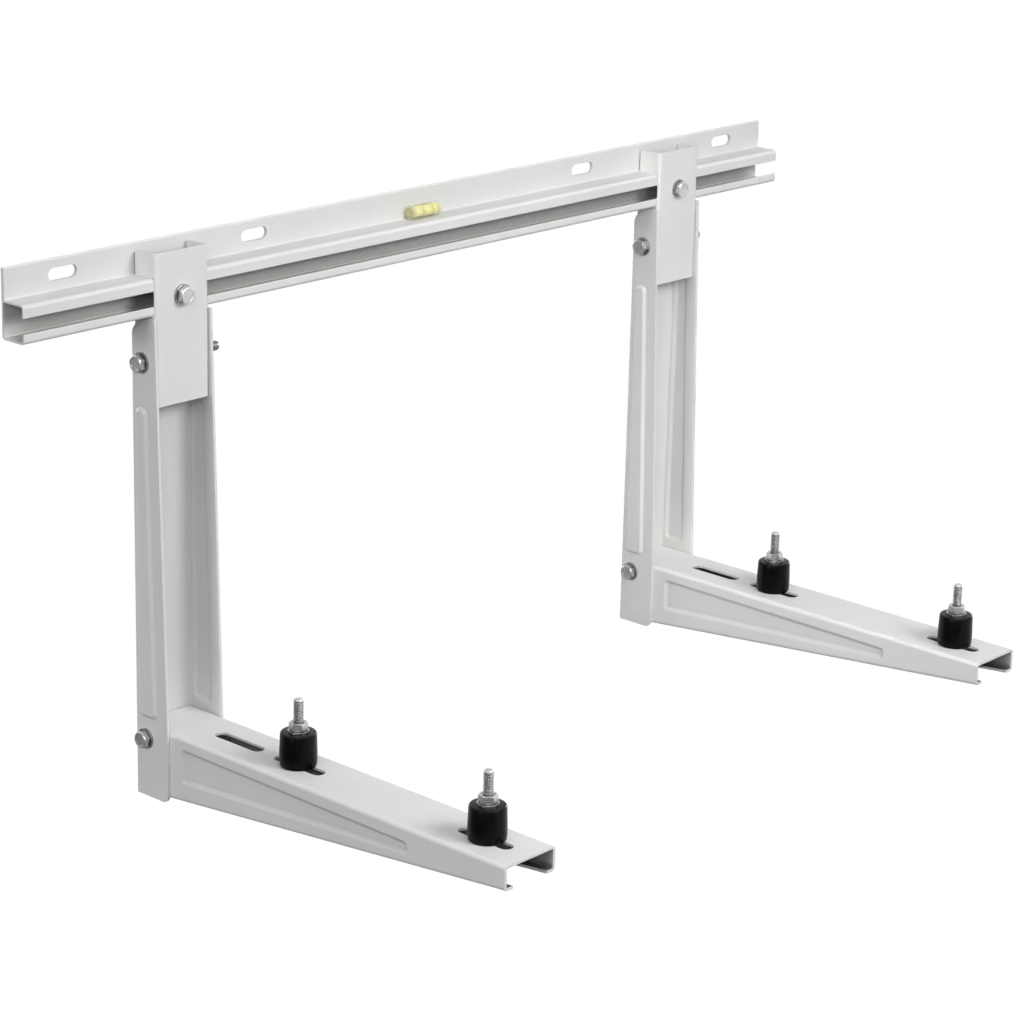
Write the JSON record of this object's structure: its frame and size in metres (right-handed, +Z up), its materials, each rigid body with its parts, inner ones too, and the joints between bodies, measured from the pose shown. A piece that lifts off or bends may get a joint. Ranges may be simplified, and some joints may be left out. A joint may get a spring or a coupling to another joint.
{
  "type": "air conditioner outdoor unit bracket",
  "caption": "Wall bracket for an air conditioner outdoor unit: a slotted rail with a bubble level, hooked uprights, tapered arms and rubber dampers with studs.",
  "frame": {"origin": "middle of the row of wall slots, on the rail's wall face", "axes": "+X along the rail to the right as seen from the front, +Y into the wall, +Z up"},
  "size_m": [0.9, 0.4, 0.4529],
  "materials": {
    "coated_sheet": "light warm grey powder coat on galvanised sheet steel",
    "zinc_steel": "bright zinc plating",
    "damper_rubber": "smooth moulded black rubber",
    "clear_tube": "clear acrylic",
    "level_liquid": "yellow level liquid",
    "level_plugs": "dark stopper"
  },
  "bodies": {
    "root": {"crossbar": "coated_sheet", "left_arm": "coated_sheet", "left_front_damper": "damper_rubber", "left_front_lower_stud": "zinc_steel", "left_front_top_nut": "zinc_steel", "left_front_top_washer": "zinc_steel", "left_front_under_nut": "zinc_steel", "left_front_under_washer": "zinc_steel", "left_front_upper_stud": "zinc_steel", "left_hanger": "coated_sheet", "left_lower_bolt": "zinc_steel", "left_lower_nut": "zinc_steel", "left_lower_washers": "zinc_steel", "left_rail_bolt": "zinc_steel", "left_rail_bolt_washer": "zinc_steel", "left_rail_plate_nut": "zinc_steel", "left_rear_damper": "damper_rubber", "left_rear_lower_stud": "zinc_steel", "left_rear_top_nut": "zinc_steel", "left_rear_top_washer": "zinc_steel", "left_rear_under_nut": "zinc_steel", "left_rear_under_washer": "zinc_steel", "left_rear_upper_stud": "zinc_steel", "left_upper_bolt": "zinc_steel", "left_upper_nut": "zinc_steel", "left_upper_washers": "zinc_steel", "left_upright": "coated_sheet", "level_liquid": "level_liquid", "level_plugs": "level_plugs", "level_tube": "clear_tube", "right_arm": "coated_sheet", "right_front_damper": "damper_rubber", "right_front_lower_stud": "zinc_steel", "right_front_top_nut": "zinc_steel", "right_front_top_washer": "zinc_steel", "right_front_under_nut": "zinc_steel", "right_front_under_washer": "zinc_steel", "right_front_upper_stud": "zinc_steel", "right_hanger": "coated_sheet", "right_lower_bolt": "zinc_steel", "right_lower_nut": "zinc_steel", "right_lower_washers": "zinc_steel", "right_rail_bolt": "zinc_steel", "right_rail_bolt_washer": "zinc_steel", "right_rail_plate_nut": "zinc_steel", "right_rear_damper": "damper_rubber", "right_rear_lower_stud": "zinc_steel", "right_rear_top_nut": "zinc_steel", "right_rear_top_washer": "zinc_steel", "right_rear_under_nut": "zinc_steel", "right_rear_under_washer": "zinc_steel", "right_rear_upper_stud": "zinc_steel", "right_upper_bolt": "zinc_steel", "right_upper_nut": "zinc_steel", "right_upper_washers": "zinc_steel", "right_upright": "coated_sheet"}
  },
  "joints": []
}
